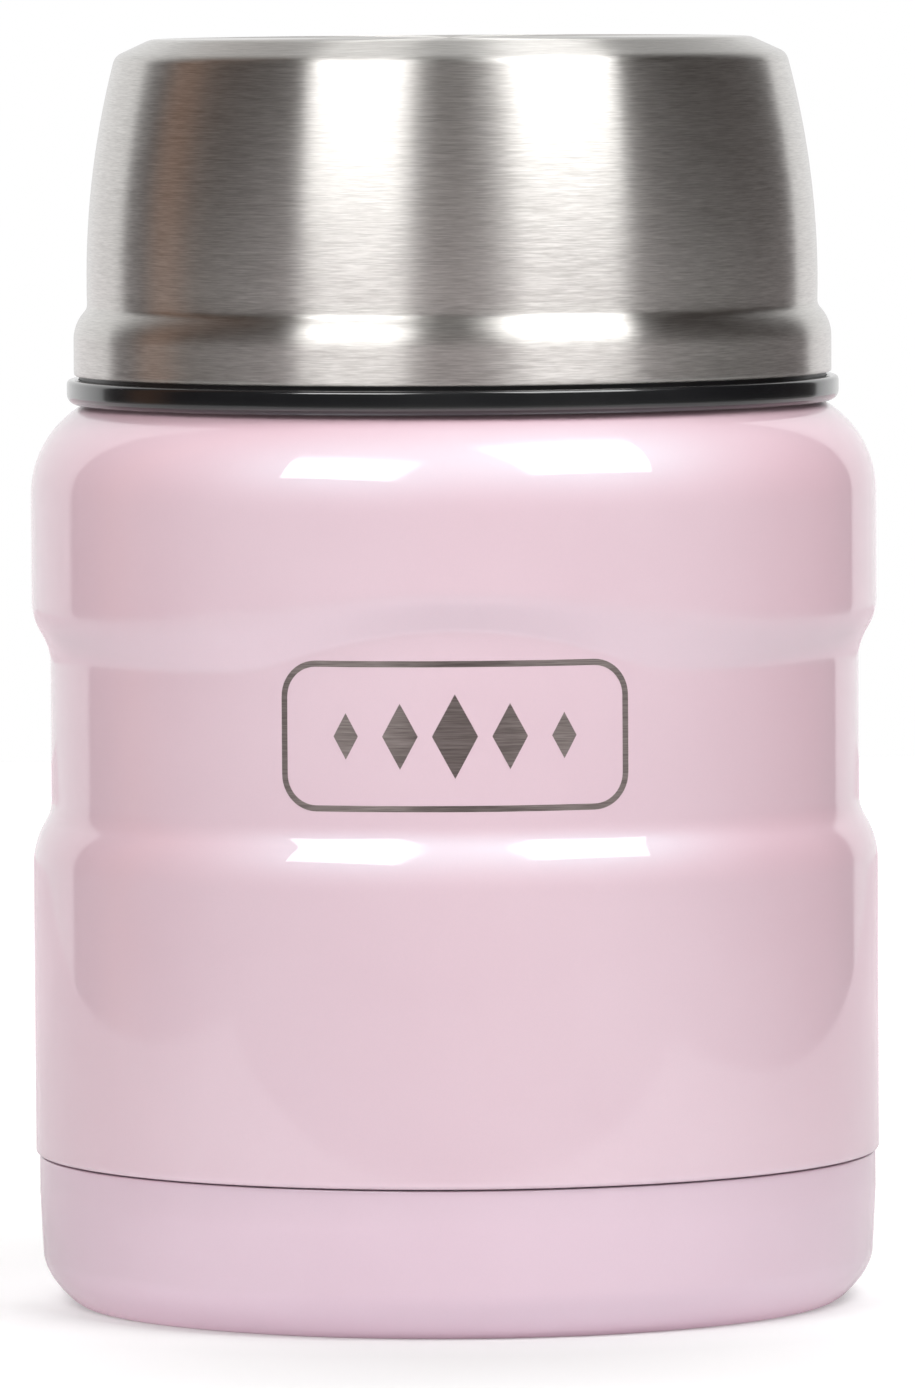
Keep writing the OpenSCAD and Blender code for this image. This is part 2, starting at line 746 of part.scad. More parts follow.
outer_shell();
threaded_neck();
inner_vessel();
radiation_foil();
end_plate();
getter();
evacuation_seal();
base_cup();
stopper_gasket();
stopper_cap();
stopper_plug();
stopper_foam();
lid_rim();
lid_shell();
lid_liner();
spoon_bowl();
spoon_pin();
spoon_handle();
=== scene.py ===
import math

import bmesh
import bpy
from mathutils import Matrix, Vector


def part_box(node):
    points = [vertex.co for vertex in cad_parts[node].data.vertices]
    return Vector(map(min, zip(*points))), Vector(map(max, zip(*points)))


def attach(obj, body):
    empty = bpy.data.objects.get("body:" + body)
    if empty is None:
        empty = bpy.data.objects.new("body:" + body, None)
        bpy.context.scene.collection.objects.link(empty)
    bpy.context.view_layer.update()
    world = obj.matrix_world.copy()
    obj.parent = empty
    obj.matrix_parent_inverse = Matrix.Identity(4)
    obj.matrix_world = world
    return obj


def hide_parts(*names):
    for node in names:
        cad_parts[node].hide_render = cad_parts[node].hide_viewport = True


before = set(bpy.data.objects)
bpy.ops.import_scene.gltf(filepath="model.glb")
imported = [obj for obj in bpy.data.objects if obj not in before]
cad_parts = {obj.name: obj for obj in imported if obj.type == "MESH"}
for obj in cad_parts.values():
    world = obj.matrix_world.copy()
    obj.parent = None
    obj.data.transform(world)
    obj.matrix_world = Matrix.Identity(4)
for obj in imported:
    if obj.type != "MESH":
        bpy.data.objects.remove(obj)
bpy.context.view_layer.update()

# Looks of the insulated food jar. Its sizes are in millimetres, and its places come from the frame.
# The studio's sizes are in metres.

MM = 0.001


def span(node):
    """(outer radius, lowest height, highest height) of a round CAD node."""
    low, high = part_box(node)
    return high[0] / MM, low[2] / MM, high[2] / MM


BODY_R, SHELL_Z, SHELL_TOP = span("outer_shell")
BASE_R, _, SEAM_Z = span("base_cup")
LID_R, LID_Z, LID_TOP = span("lid_shell")
RIM_R, RIM_Z, RIM_TOP = span("lid_rim")
LINER_R, LINER_Z, LINER_TOP = span("lid_liner")
_, _, NECK_TOP = span("threaded_neck")
VESSEL_R, VESSEL_Z, MOUTH_Z = span("inner_vessel")
_, SKIRT_Z, GRIP_Z = span("stopper_cap")
GASKET_R, GASKET_Z, GASKET_TOP = span("stopper_gasket")

# Shell, with a recessed band between its lower step and its upper one
SHELL_T = 0.6
BAND_R = BODY_R - 2.05
STEP_1 = (SEAM_Z + 32.4, SEAM_Z + 39.6)
STEP_2 = (SEAM_Z + 55.0, SEAM_Z + 61.8)
UPPER_WALL_H = 11.9
SHOULDER_R = SHELL_TOP - STEP_2[1] - UPPER_WALL_H
SHOULDER_Z = SHELL_TOP - SHOULDER_R
EDGE_R = 0.45
SEAM_GAP = 0.07
SPIGOT_R = BASE_R - 1.65

# Necks and threads, from the lid inwards
LID_T = 0.5
LINER_T = 1.4
THREAD_H = 0.8
THREAD_GAP = 0.2
LID_PITCH = 3.0
NECK_PITCH = 4.0
SKIRT_R = LINER_R - LINER_T - 2 * THREAD_H - THREAD_GAP
SKIRT_T = 1.6
NECK_R = SKIRT_R - SKIRT_T - 2 * THREAD_H - THREAD_GAP
NECK_T = 0.6
MOUTH_R = GASKET_R + 0.3
VESSEL_T = 0.5


# ---------------------------------------------------------------- outlines and meshes

# Walls longer than this are shaded as one, and edges sharper than this angle stay sharp
LONG_WALL = 2.5
SHARP_ANGLE = math.radians(32)


def arc(cr, cz, radius, start, end, n=10):
    """Points of an arc round (cr, cz), from angle start to angle end in degrees."""
    angles = [math.radians(start + (end - start) * i / n) for i in range(n + 1)]
    return [(cr + radius * math.cos(a), cz + radius * math.sin(a)) for a in angles]


def soft_step(r0, z0, r1, z1, share, n=18):
    """Two arcs that lead from one upright wall to another. The first takes that share of the height."""
    d, h = r1 - r0, z1 - z0
    total = (h * h + d * d) / (2 * abs(d))
    sign = math.copysign(1, d)
    points = []
    for i in range(n + 1):
        u = i / n
        if u < share:
            big = share * total
            r = r0 + sign * (big - math.sqrt(big * big - (h * u) ** 2))
        else:
            small = (1 - share) * total
            r = r1 - sign * (small - math.sqrt(small * small - (h * (1 - u)) ** 2))
        points.append((r, z0 + h * u))
    return points


def slanted_step(r0, z0, r1, z1, low, high, n=24):
    """A straight slant between two upright walls. It bends over those shares of its height at its ends."""
    slope = 1 / (1 - (low + high) / 2)
    points = []
    for i in range(n + 1):
        u = i / n
        if u < low:
            t = slope * u * u / (2 * low)
        elif u < 1 - high:
            t = slope * (u - low / 2)
        else:
            t = 1 - slope * (1 - u) ** 2 / (2 * high)
        points.append((r0 + (r1 - r0) * t, z0 + (z1 - z0) * u))
    return points


def rounded(corners, n=5):
    """Outline through (radius, height) or (radius, height, fillet) corners."""
    points = []
    count = len(corners)
    for i, corner in enumerate(corners):
        p = Vector(corner[:2])
        fillet = corner[2] if len(corner) > 2 else 0
        if not fillet:
            points.append(tuple(p))
            continue
        before, after = Vector(corners[i - 1][:2]) - p, Vector(corners[(i + 1) % count][:2]) - p
        half = before.angle(after) / 2
        reach = min(fillet / math.tan(half), 0.49 * before.length, 0.49 * after.length)
        a, b = p + before.normalized() * reach, p + after.normalized() * reach
        for k in range(n + 1):
            t = k / n
            points.append(tuple(a * (1 - t) ** 2 + p * 2 * t * (1 - t) + b * t * t))
    return points


def steady(outline, walls, margin=0.35):
    """Adds a point near each end of the long straight walls, so that each is shaded as one."""
    points = []
    for i, a in enumerate(outline):
        points.append(a)
        if i in walls:
            b = outline[(i + 1) % len(outline)]
            share = min(0.3, margin / max(math.dist(a, b), margin))
            points += [(a[0] + (b[0] - a[0]) * t, a[1] + (b[1] - a[1]) * t) for t in (share, 1 - share)]
    return points


def turn(bm, outline, steps=240, axis=Matrix()):
    """Turns a closed outline round the Z of axis. It may be a function of the angle in degrees."""
    at = outline if callable(outline) else lambda angle: outline
    columns = [at(360 * k / steps) for k in range(steps)]
    first = columns[0]
    walls = [i for i, a in enumerate(first) if math.dist(a, first[(i + 1) % len(first)]) > LONG_WALL]
    columns = [steady(column, walls) for column in columns]
    rings = []
    for i in range(len(columns[0])):
        if columns[0][i][0] < 1e-6:
            rings.append([bm.verts.new(axis @ Vector((0, 0, columns[0][i][1] * MM)))])
            continue
        ring = []
        for k, column in enumerate(columns):
            a = 2 * math.pi * k / steps
            r, z = column[i][0] * MM, column[i][1] * MM
            ring.append(bm.verts.new(axis @ Vector((r * math.cos(a), r * math.sin(a), z))))
        rings.append(ring)
    for low, high in zip(rings, rings[1:] + rings[:1]):
        bridge(bm, low, high)


def bridge(bm, low, high):
    """Faces between two rings, either of which may be a single point."""
    count = max(len(low), len(high))
    if count == 1:
        return
    for k in range(count):
        after = k + 1
        corners = [low[k % len(low)], low[after % len(low)], high[after % len(high)], high[k % len(high)]]
        unique = list(dict.fromkeys(corners))
        if len(unique) > 2:
            bm.faces.new(unique)


def ridge(bm, wall_r, z, pitch, side, turns=0.75):
    """A rounded thread ridge that fades out at both ends. side is 1 outside a wall and -1 inside it."""
    steps, fade, root_w, crest_w, root = 120, 10, 0.9, 0.4, 0.3
    rings = []
    for i in range(steps + 1):
        a = 2 * math.pi * turns * i / steps
        full = min(1, min(i, steps - i) / fade)
        full = full * full * (3 - 2 * full)
        h = z + pitch * turns * i / steps
        section = rounded([
            (-root, -root_w), (0, -root_w), (THREAD_H * full, -crest_w, 0.25),
            (THREAD_H * full, crest_w, 0.25), (0, root_w), (-root, root_w),
        ], 3)
        ring = []
        for out, up in section:
            r = (wall_r + side * out) * MM
            ring.append(bm.verts.new((r * math.cos(a), r * math.sin(a), (h + up) * MM)))
        rings.append(ring)
    for low, high in zip(rings, rings[1:]):
        bridge(bm, low, high)
    bm.faces.new(rings[0])
    bm.faces.new(rings[-1])


def plate(bm, outline, low, high, bevel, place=Matrix()):
    """A flat plate with bevelled edges: a closed outline in X and Y, between two heights."""
    part = bmesh.new()
    ring = [part.verts.new((x * MM, y * MM, low * MM)) for x, y in outline]
    face = part.faces.new(ring)
    top = bmesh.ops.extrude_face_region(part, geom=[face])["geom"]
    moved = [v for v in top if isinstance(v, bmesh.types.BMVert)]
    bmesh.ops.translate(part, verts=moved, vec=(0, 0, (high - low) * MM))
    edges = [e for e in part.edges if len(e.link_faces) == 2 and e.calc_face_angle(0) > 0.6]
    bmesh.ops.bevel(part, geom=edges, offset=bevel * MM, segments=3, profile=0.5, affect="EDGES")
    part.transform(place)
    join(bm, part)


def join(bm, part):
    """Adds one mesh to another."""
    data = bpy.data.meshes.new("part")
    part.to_mesh(data)
    part.free()
    bm.from_mesh(data)
    bpy.data.meshes.remove(data)


def piece(name, bm, material, body=None, replaced=()):
    """Makes the object, gives it its material and hands it to its CAD body."""
    bmesh.ops.recalc_face_normals(bm, faces=bm.faces)
    data = bpy.data.meshes.new(name)
    bm.to_mesh(data)
    bm.free()
    data.shade_smooth()
    data.set_sharp_from_angle(angle=SHARP_ANGLE)
    obj = bpy.data.objects.new(name, data)
    bpy.context.scene.collection.objects.link(obj)
    data.materials.append(material)
    if body:
        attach(obj, body)
    if replaced:
        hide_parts(*replaced)
    return obj


# ---------------------------------------------------------------- materials

class Nodes:
    """A node tree, with short words for its nodes."""

    def __init__(self, tree):
        self.tree = tree

    def add(self, kind, inputs=None, **settings):
        node = self.tree.nodes.new(kind)
        for key, value in settings.items():
            setattr(node, key, value)
        for key, value in (inputs or {}).items():
            if isinstance(value, bpy.types.NodeSocket):
                self.tree.links.new(value, node.inputs[key])
            else:
                node.inputs[key].default_value = value
        return node

    def math(self, operation, a, b=0.0):
        return self.add("ShaderNodeMath", {0: a, 1: b}, operation=operation).outputs[0]

    def length(self, x, y):
        """Length of the flat vector (x, y)."""
        return self.math("SQRT", self.math("ADD", self.math("MULTIPLY", x, x), self.math("MULTIPLY", y, y)))

    def spread(self, value, low, high, start=0.3, end=0.7):
        """The stretch of a value from start to end, spread from low to high."""
        return self.add("ShaderNodeMapRange", {"Value": value, "From Min": start, "From Max": end,
                                               "To Min": low, "To Max": high}).outputs["Result"]

    def mixed(self, a, share, b):
        """That share of one value and the rest of another."""
        return self.math("ADD", self.math("MULTIPLY", a, share), self.math("MULTIPLY", b, 1 - share))

    def blend(self, share, a, b):
        """A colour between a and b."""
        return self.add("ShaderNodeMix", {0: share, 6: a, 7: b}, data_type="RGBA").outputs[2]


class Finish(Nodes):
    """A material built round one Principled shader."""

    def __init__(self, name, **sockets):
        self.material = bpy.data.materials.new(name)
        self.material.use_nodes = True
        super().__init__(self.material.node_tree)
        self.shader = self.tree.nodes["Principled BSDF"]
        for socket, value in sockets.items():
            self.shader.inputs[socket.replace("_", " ")].default_value = value
        self.place = self.add("ShaderNodeTexCoord").outputs["Object"]

    def drive(self, socket, value):
        self.tree.links.new(value, self.shader.inputs[socket])

    def stretched(self, x, y, z, source=None):
        """The piece's own coordinates or other ones, times that many per metre along each axis."""
        return self.add("ShaderNodeVectorMath", {0: source or self.place, 1: (x, y, z)},
                        operation="MULTIPLY").outputs[0]

    def rings(self, along, across):
        """Coordinates for brush lines that run round Z, on walls and on flat tops alike."""
        parts = self.add("ShaderNodeSeparateXYZ", {0: self.place}).outputs
        way = self.math("SUBTRACT", parts[2], self.length(parts[0], parts[1]))
        line = self.add("ShaderNodeCombineXYZ", {0: parts[0], 1: parts[1], 2: way}).outputs[0]
        return self.stretched(along, along, across, line)

    def noise(self, vector, detail, rough=0.55):
        return self.add("ShaderNodeTexNoise", {"Vector": vector, "Scale": 1.0, "Detail": detail,
                                               "Roughness": rough}).outputs["Fac"]

    def tint(self, value, dark, light, start=0.3, end=0.7):
        """A colour between dark and light."""
        ramp = self.add("ShaderNodeValToRGB", {"Fac": value})
        ramp.color_ramp.elements[0].position = start
        ramp.color_ramp.elements[1].position = end
        ramp.color_ramp.elements[0].color = (*dark, 1)
        ramp.color_ramp.elements[1].color = (*light, 1)
        return ramp.outputs["Color"]

    def bump(self, value, strength, depth):
        """Relief of that depth, in millimetres."""
        node = self.add("ShaderNodeBump", {"Height": value, "Strength": strength, "Distance": depth * MM})
        self.drive("Normal", node.outputs["Normal"])

    def brushed(self):
        """Sets the long axis of the shine across the brush lines that run round Z."""
        tangent = self.add("ShaderNodeTangent", direction_type="RADIAL", axis="Z")
        self.drive("Tangent", tangent.outputs["Tangent"])


def pearl_paint(name, dark, light, shimmer):
    """Pale pink pearl under a gloss coat: fine flakes that shine in a colour, and a faint cloudiness."""
    f = Finish(name, IOR=1.95, Specular_IOR_Level=1.0, Specular_Tint=(*shimmer, 1), Coat_Weight=1.0,
               Coat_Roughness=0.035, Coat_IOR=1.52, Sheen_Weight=0.12, Sheen_Roughness=0.5,
               Sheen_Tint=(1.0, 0.84, 0.92, 1))
    flakes = f.noise(f.stretched(7000, 7000, 7000), 2.0)
    clouds = f.noise(f.stretched(28, 28, 28), 3.0)
    mixed = f.mixed(flakes, 0.35, clouds)
    f.drive("Base Color", f.tint(mixed, dark, light))
    f.drive("Roughness", f.spread(flakes, 0.5, 0.62))
    f.bump(f.noise(f.stretched(900, 900, 900), 2.0), 0.05, 0.02)
    return f.material


def brushed_steel():
    """Stainless steel brushed round its axis, with long uneven lines."""
    f = Finish("brushed_lid_steel", Metallic=1.0, Anisotropic=1.0, Anisotropic_Rotation=0.25)
    f.brushed()
    fine = f.noise(f.rings(420, 7500), 2.0, 0.6)
    long = f.noise(f.rings(120, 2800), 2.0, 0.6)
    lines = f.mixed(fine, 0.7, long)
    f.drive("Base Color", f.tint(lines, (0.485, 0.47, 0.45), (0.70, 0.685, 0.66), 0.35, 0.65))
    f.drive("Roughness", f.spread(lines, 0.31, 0.38))
    f.bump(lines, 0.5, 0.02)
    return f.material


def steel(name, dark, light, rough, across=9000, along=120):
    """Turned or drawn steel with fine rings."""
    f = Finish(name, Metallic=1.0, Anisotropic=0.5, Anisotropic_Rotation=0.25)
    f.brushed()
    lines = f.noise(f.rings(along, across), 3.0)
    f.drive("Base Color", f.tint(lines, dark, light))
    f.drive("Roughness", f.spread(lines, rough, rough + 0.1))
    f.bump(lines, 0.2, 0.01)
    return f.material


def polished_steel():
    """Polished spoon steel with faint drawn lines along the handle."""
    f = Finish("spoon_polish", Metallic=1.0)
    lines = f.noise(f.stretched(60, 3000, 3000), 3.0)
    f.drive("Base Color", f.tint(lines, (0.60, 0.59, 0.575), (0.71, 0.70, 0.685)))
    f.drive("Roughness", f.spread(lines, 0.12, 0.24))
    f.bump(lines, 0.15, 0.008)
    return f.material


def moulded(name, dark, light, low, high, grain, depth, coat=0.0):
    """Moulded plastic or rubber with a fine grain."""
    f = Finish(name, Coat_Weight=coat, Coat_Roughness=0.06)
    fine = f.noise(f.stretched(grain, grain, grain), 3.0)
    clouds = f.noise(f.stretched(90, 90, 90), 3.0)
    f.drive("Base Color", f.tint(clouds, dark, light))
    f.drive("Roughness", f.spread(clouds, low, high))
    f.bump(fine, 0.3, depth)
    return f.material


def metal_foil():
    """Thin crinkled foil."""
    f = Finish("crinkled_foil", Metallic=1.0)
    folds = f.add("ShaderNodeTexVoronoi", {"Vector": f.stretched(150, 150, 110), "Scale": 1.0})
    f.drive("Base Color", f.tint(folds.outputs["Distance"], (0.56, 0.34, 0.22), (0.68, 0.45, 0.32), 0.0, 0.8))
    f.drive("Roughness", f.spread(folds.outputs["Distance"], 0.2, 0.4, 0.0, 0.8))
    f.bump(folds.outputs["Distance"], 0.5, 0.3)
    return f.material


def bead_foam():
    """Expanded beads pressed together."""
    f = Finish("bead_foam", Roughness=0.8)
    beads = f.add("ShaderNodeTexVoronoi", {"Vector": f.stretched(420, 420, 420), "Scale": 1.0})
    f.drive("Base Color", f.tint(beads.outputs["Distance"], (0.88, 0.84, 0.76), (0.72, 0.67, 0.58), 0.2, 0.7))
    f.bump(beads.outputs["Distance"], 0.6, 0.25)
    return f.material


def etched_steel():
    """Bare steel where the paint is etched away: dark, with fine level lines."""
    f = Finish("etched_steel", Metallic=1.0, Anisotropic=0.85, Anisotropic_Rotation=0.25)
    f.brushed()
    grain = f.noise(f.stretched(300, 300, 9000), 2.0)
    f.drive("Base Color", f.tint(grain, (0.20, 0.175, 0.165), (0.33, 0.295, 0.28)))
    f.drive("Roughness", f.spread(grain, 0.3, 0.38))
    f.bump(grain, 0.2, 0.01)
    return f.material


PAINT = pearl_paint("pearl_paint", (0.715, 0.438, 0.508), (0.765, 0.492, 0.561), (0.38, 0.93, 0.97))
# The base cup's paint is partly its own, a slightly different pink, and partly painted shade: darker than the
# shell's to offset the stronger floor light near it.
SHADED_BASE_PAINT = pearl_paint("base_paint", (0.647, 0.42, 0.502), (0.697, 0.475, 0.557), (0.5, 0.84, 0.9))
BRUSHED = brushed_steel()
RIM_GLOSS = moulded("rim_gloss", (0.005, 0.0055, 0.0065), (0.008, 0.0085, 0.0095), 0.16, 0.24, 900, 0.01, 0.6)
SATIN = moulded("stopper_satin", (0.018, 0.018, 0.019), (0.024, 0.024, 0.025), 0.42, 0.52, 3500, 0.03)
LINER = moulded("liner_satin", (0.014, 0.014, 0.015), (0.019, 0.019, 0.02), 0.34, 0.44, 3500, 0.02)
RUBBER = moulded("gasket_silicone", (0.045, 0.045, 0.05), (0.06, 0.06, 0.065), 0.5, 0.62, 1500, 0.02)
NECK_STEEL = steel("turned_neck_steel", (0.53, 0.515, 0.50), (0.66, 0.645, 0.625), 0.24)
VESSEL_STEEL = steel("vessel_polish", (0.62, 0.61, 0.595), (0.70, 0.69, 0.675), 0.34, 6000, 60)
SPOON_STEEL = polished_steel()
FOIL = metal_foil()
FOAM = bead_foam()
GETTER = moulded("getter_powder", (0.27, 0.27, 0.28), (0.37, 0.37, 0.38), 0.6, 0.75, 5000, 0.06)
SEAL = moulded("seal_bead", (0.16, 0.125, 0.09), (0.24, 0.19, 0.145), 0.2, 0.35, 700, 0.04)
ETCHED = etched_steel()


# ---------------------------------------------------------------- shell, with its arch

# Angle of the front, and the cosines of the angle from it between which the arch's own shape comes in
FRONT = 270
FRONT_FADE = (0.35, 0.75)
# Bows of the upper step's foot and top: how far they rise, their radius and how softly they end
FOOT_BOW = (4.9, 46, 1.2)
TOP_BOW = (3.5, 135, 0.8)
# Shares of the upper step's height that its lower and upper bend take, and what lifts its foot at the front
SIDE_BENDS = (0.5, 0.5)
FRONT_BENDS = (0.12, 0.4)
FRONT_LIFT = 0.35


def eased(rise, bend, blend, x):
    """Height of a bow over x: a curve of radius bend that fades into the level."""
    above = rise - x * x / (2 * bend)
    return (above + math.sqrt(above * above + blend * blend)) / 2


def arch(angle):
    """How much higher the foot and the top of the upper step lie at this angle than at the sides."""
    turned = math.radians(angle - FRONT)
    if math.cos(turned) < 0.3:
        return 0.0, 0.0
    x = BAND_R * math.sin(turned)
    return [eased(*bow, x) - eased(*bow, BAND_R) for bow in (FOOT_BOW, TOP_BOW)]


def shell_line(angle, t):
    """Outer face of the shell, moved inwards by t, from its spigot in the base to the neck."""
    foot, top = arch(angle)
    far, near = FRONT_FADE
    front = min(1, max(0, (math.cos(math.radians(angle - FRONT)) - far) / (near - far)))
    bends = [side + (ahead - side) * front for side, ahead in zip(SIDE_BENDS, FRONT_BENDS)]
    foot += FRONT_LIFT * front
    edge = SEAM_Z + SEAM_GAP + EDGE_R
    cr = BODY_R - SHOULDER_R
    return (
        [(SPIGOT_R - t, SHELL_Z), (SPIGOT_R - t, edge - EDGE_R + t)]
        + arc(BODY_R - EDGE_R, edge, EDGE_R - t, -90, 0, 6)
        + soft_step(BODY_R - t, STEP_1[0], BAND_R - t, STEP_1[1], 0.667)
        + slanted_step(BAND_R - t, STEP_2[0] + foot, BODY_R - t, STEP_2[1] + top, *bends)
        + arc(cr, SHOULDER_Z, SHOULDER_R - t, 0, 90, 22)
        + [(NECK_R, SHELL_TOP - t)]
    )


def make_shell():
    """Painted shell, hollow, with the arch at its front."""
    bm = bmesh.new()
    turn(bm, lambda angle: shell_line(angle, 0) + shell_line(angle, SHELL_T)[::-1], 360)
    piece("body_shell", bm, PAINT, "jar", ["outer_shell"])


def make_base():
    """Cup on a flat ring. Its outer corner is taller than wide, and its wall leans out a little."""
    low_r, top_z = BASE_R - 0.35, SEAM_Z - 0.1
    foot_r, under_z = low_r - 11.8, 1.0
    corner_w, corner_h, lift, fullness, n = 3.15, 5.2, 0.45, 1.9, 16
    corner = [(low_r - corner_w * (1 - i / n) ** fullness, lift + corner_h * i / n) for i in range(n + 1)]
    in_r, in_z, in_corner = low_r - 1.2, 2.2, 2.4
    bm = bmesh.new()
    turn(bm, rounded([
        (0, under_z), (foot_r, under_z, 0.3), (foot_r + 1, 0, 0.3), (low_r - corner_w - 0.7, 0, 0.2),
        *corner, (BASE_R, SEAM_Z - 4.2), (BASE_R, top_z, 0.2),
        (in_r, top_z), (in_r, in_z + in_corner, in_corner), (in_r - in_corner, in_z), (0, in_z),
    ]))
    piece("base_shell", bm, SHADED_BASE_PAINT, "jar", ["base_cup"])


def make_rim():
    """Ring round the liner's foot, with a full round lower edge and a thin flange under the liner."""
    bm = bmesh.new()
    in_r, in_z = LINER_R - LINER_T, RIM_Z + 0.66
    wall_r, flange_z = LINER_R + 0.1, in_z + 0.8
    round_r, round_z = 1.15, RIM_Z + 1.05
    turn(bm, rounded([
        (in_r, in_z, 0.1), *arc(RIM_R - round_r, round_z, round_r, -90, 0, 12), (RIM_R, RIM_TOP, 0.6),
        (wall_r, RIM_TOP, 0.08), (wall_r, flange_z), (in_r, flange_z, 0.1),
    ]))
    piece("rim_ring", bm, RIM_GLOSS, "rim", ["lid_rim"])


# ---------------------------------------------------------------- lid

LID_STEP = (LID_Z + 4.0, LID_Z + 7.9)
LID_WALL_R = LID_R - 1.5
LID_CURVE = 96.0
LID_WIDEST = LID_STEP[1] + 2.5
LID_BEVEL_W = 3.4
LID_BEVEL_TURN = 62


def lid_wall(z, t):
    """Radius of the lid's slow curve at a height, moved inwards by t."""
    return LID_WALL_R - LID_CURVE + math.sqrt((LID_CURVE - t) ** 2 - (z - LID_WIDEST) ** 2)


def lid_line(t, low, corner_z, corner_r):
    """Wall of the lid moved inwards by t, and the centre, radius and first angle of its top corner."""
    lean = math.degrees(math.asin((corner_z - LID_WIDEST) / (LID_CURVE - corner_r)))
    top = corner_z + (corner_r - t) * math.sin(math.radians(lean))
    cr = LID_WALL_R - LID_CURVE + (LID_CURVE - corner_r) * math.cos(math.radians(lean))
    step = soft_step(LID_R - t, LID_STEP[0] - t / 2, lid_wall(LID_STEP[1], t), LID_STEP[1] - t / 2, 0.8)
    wall = [(lid_wall(z, t), z) for z in (LID_STEP[1] + (top - LID_STEP[1]) * i / 16 for i in range(1, 16))]
    return [(LID_R - t, low)] + step + wall, (cr, corner_z, corner_r - t, lean)


def lid_steel_line(t):
    """Steel shell moved inwards by t: wall, corner, bevel and flat top."""
    wall, (cr, cz, radius, lean) = lid_line(t, LID_Z, LID_TOP - 2.99, 1.6)
    corner = arc(cr, cz, radius, lean, LID_BEVEL_TURN, 8)
    r, z = corner[-1]
    top = LID_TOP - t
    bevel = rounded([(r - 0.05, z + 0.03), (r - LID_BEVEL_W, top, 2.5), (20, top)])
    return wall + corner + bevel[:-1] + [(0, top)]


def make_lid():
    """Steel shell of the lid, with a round lip."""
    bm = bmesh.new()
    outer, inner = lid_steel_line(0), lid_steel_line(LID_T)
    lip = arc(LID_R - LID_T / 2, LID_Z + LID_T / 2, LID_T / 2, 180, 360, 8)
    turn(bm, lip[:-1] + [(LID_R, LID_Z + LID_T)] + outer[1:] + inner[::-1][:-1], 300)
    piece("lid_steel", bm, BRUSHED, "lid", ["lid_shell"])


def liner_line(t):
    """Inner bowl moved inwards by t, just inside the steel, with a wide round corner."""
    wall, (cr, cz, radius, lean) = lid_line(0.6 + t, LINER_Z, LINER_TOP - 9, 9.6)
    return wall + arc(cr, cz, radius, lean, 90, 14) + [(0, LINER_TOP - t)]


def make_liner():
    """Bowl inside the lid, with the thread that holds the lid on the stopper."""
    bm = bmesh.new()
    outer, inner = liner_line(0), liner_line(LINER_T)
    lip = arc(LINER_R - LINER_T / 2, LINER_Z + LINER_T / 2, LINER_T / 2, 180, 360, 8)
    turn(bm, lip + outer[1:] + inner[::-1][:-1])
    ridge(bm, LINER_R - LINER_T, LINER_Z + 1.2, LID_PITCH, -1)
    piece("lid_bowl", bm, LINER, "lid", ["lid_liner"])


# ---------------------------------------------------------------- neck, vessel and stopper

def make_neck():
    """Bare neck on the shell, with the stopper's thread outside."""
    bm = bmesh.new()
    neck_in = NECK_R - NECK_T
    foot_z = SHELL_TOP - SHELL_T
    turn(bm, [(neck_in, foot_z), (NECK_R, foot_z), (NECK_R, NECK_TOP), (neck_in, NECK_TOP)])
    ridge(bm, NECK_R, MOUTH_Z - 5.1, NECK_PITCH, 1)
    piece("neck_steel", bm, NECK_STEEL, "jar", ["threaded_neck"])


def make_vessel():
    """Food vessel with round corners, and the lip that joins it to the neck."""
    floor_z, corner, shoulder = VESSEL_Z + VESSEL_T, 10.0, 8.0
    top_z = SHELL_TOP - SHELL_T - 3.7

    def line(t):
        """Inner face of the vessel, moved outwards by t."""
        return (
            [(0, floor_z - t)]
            + arc(VESSEL_R - VESSEL_T - corner, floor_z + corner, corner + t, -90, 0, 14)
            + arc(VESSEL_R - shoulder, top_z - shoulder, shoulder - VESSEL_T + t, 0, 90, 14)
            + [(MOUTH_R + t, top_z + 1.5)]
        )

    bm = bmesh.new()
    lip = [
        (MOUTH_R + VESSEL_T, MOUTH_Z - VESSEL_T), (NECK_R, MOUTH_Z - VESSEL_T), (NECK_R, MOUTH_Z, 0.25),
        (MOUTH_R, MOUTH_Z, 0.35),
    ]
    turn(bm, rounded(line(VESSEL_T) + lip + line(0)[::-1]))
    piece("vessel", bm, VESSEL_STEEL, "jar", ["inner_vessel"])


DECK_UNDER = MOUTH_Z + 0.4
DECK_Z = DECK_UNDER + 1.6
TRAY_Z = GRIP_Z - 13.5
TRAY_R = MOUTH_R - 3.5
GRIP_R = SKIRT_R - 1.0
GRIP_IN_R = GRIP_R - 1.5
NOTCH_W = 26.0


def grip_height(angle, r):
    """Height of the grip wall: it drops to a low sill in the two finger notches."""
    half, sill, soft = NOTCH_W / 2, DECK_Z + 1.2, 0.9
    x = abs(r * math.cos(math.radians(angle)))
    t = min(1, max(0, (x - half + soft / 2) / soft))
    return sill + (GRIP_Z - sill) * t * t * (3 - 2 * t)


def cap_outline(angle):
    """Stopper cap at this angle: tray, deck, grip wall and skirt."""
    top = grip_height(angle, (GRIP_R + GRIP_IN_R) / 2)
    tray_out, under_z = TRAY_R + 1.4, TRAY_Z - 1.6
    return rounded([
        (0, TRAY_Z), (TRAY_R, TRAY_Z, 2.5), (TRAY_R, DECK_Z, 0.5), (GRIP_IN_R, DECK_Z, 0.4),
        (GRIP_IN_R, top, 0.5), (GRIP_R, top, 0.5), (GRIP_R, DECK_Z, 0.4), (SKIRT_R, DECK_UNDER - 0.5, 0.4),
        (SKIRT_R, SKIRT_Z, 0.4), (SKIRT_R - SKIRT_T, SKIRT_Z, 0.4), (SKIRT_R - SKIRT_T, DECK_UNDER),
        (tray_out, DECK_UNDER), (tray_out, under_z, 1.0), (0, under_z),
    ], 4)


